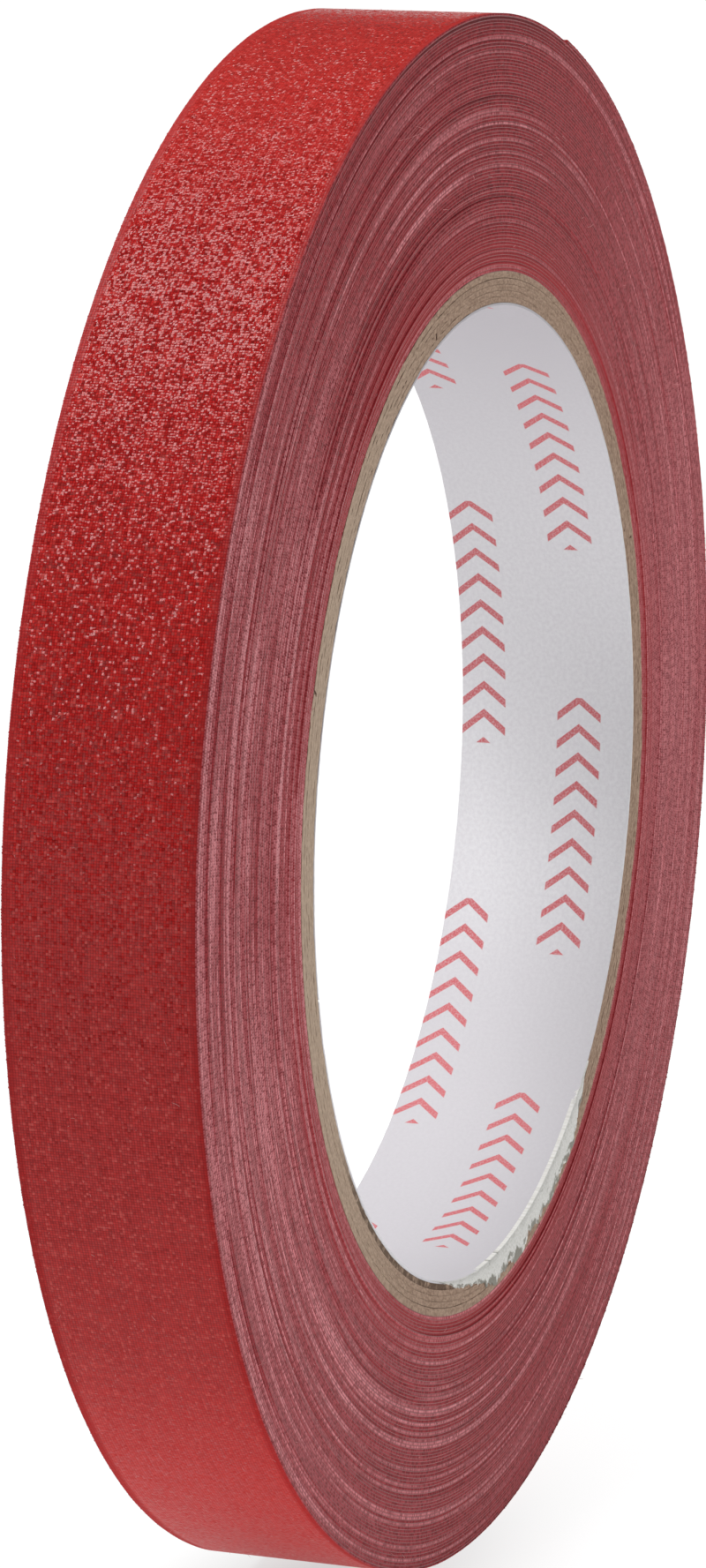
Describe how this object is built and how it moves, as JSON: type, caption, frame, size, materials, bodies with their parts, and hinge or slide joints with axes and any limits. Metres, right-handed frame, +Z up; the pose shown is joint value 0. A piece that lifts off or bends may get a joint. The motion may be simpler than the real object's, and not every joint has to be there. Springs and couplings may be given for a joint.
{
  "type": "cloth electrical tape roll",
  "caption": "Roll of woven cloth adhesive tape wound on a spiral-wound board core, with a free end that peels off the rim.",
  "frame": {"origin": "centre of the core's bore, midway along its width", "axes": "+Y along the bore's axis, away from the front side; +Z up, with the roll standing on its rim; angles on the rim run from +X towards +Z, the way the tape is wound as it goes outwards"},
  "size_m": [0.121, 0.015, 0.1209],
  "materials": {
    "red_cloth": "matte",
    "adhesive": "satin",
    "core_board": "matte",
    "liner_paper": "matte"
  },
  "bodies": {
    "roll": {"core_liner": "liner_paper", "core_ply_1": "core_board", "core_ply_2": "core_board", "core_ply_3": "core_board", "core_ply_4": "core_board", "core_ply_5": "core_board", "cloth_windings": "red_cloth", "adhesive_windings": "adhesive"},
    "end_1": {"cloth_end_1": "red_cloth", "adhesive_end_1": "adhesive"},
    "end_2": {"cloth_end_2": "red_cloth", "adhesive_end_2": "adhesive"},
    "end_3": {"cloth_end_3": "red_cloth", "adhesive_end_3": "adhesive"},
    "end_4": {"cloth_end_4": "red_cloth", "adhesive_end_4": "adhesive"}
  },
  "joints": [
    {"name": "peel_1", "type": "hinge", "parent": "roll", "child": "end_1", "pos_m": [0.04637, 0, 0.03896], "axis": [0, 1, 0], "range_deg": [0, 30]},
    {"name": "peel_2", "type": "hinge", "parent": "end_1", "child": "end_2", "pos_m": [0.04089, 0, 0.04469], "axis": [0, 1, 0], "range_deg": [0, 30]},
    {"name": "peel_3", "type": "hinge", "parent": "end_2", "child": "end_3", "pos_m": [0.0347, 0, 0.04965], "axis": [0, 1, 0], "range_deg": [0, 30]},
    {"name": "peel_4", "type": "hinge", "parent": "end_3", "child": "end_4", "pos_m": [0.02793, 0, 0.05376], "axis": [0, 1, 0], "range_deg": [0, 30]}
  ],
  "couplings": [
    {"joint": "peel_2", "follows": "peel_1", "ratio": 1},
    {"joint": "peel_3", "follows": "peel_1", "ratio": 1},
    {"joint": "peel_4", "follows": "peel_1", "ratio": 1}
  ]
}
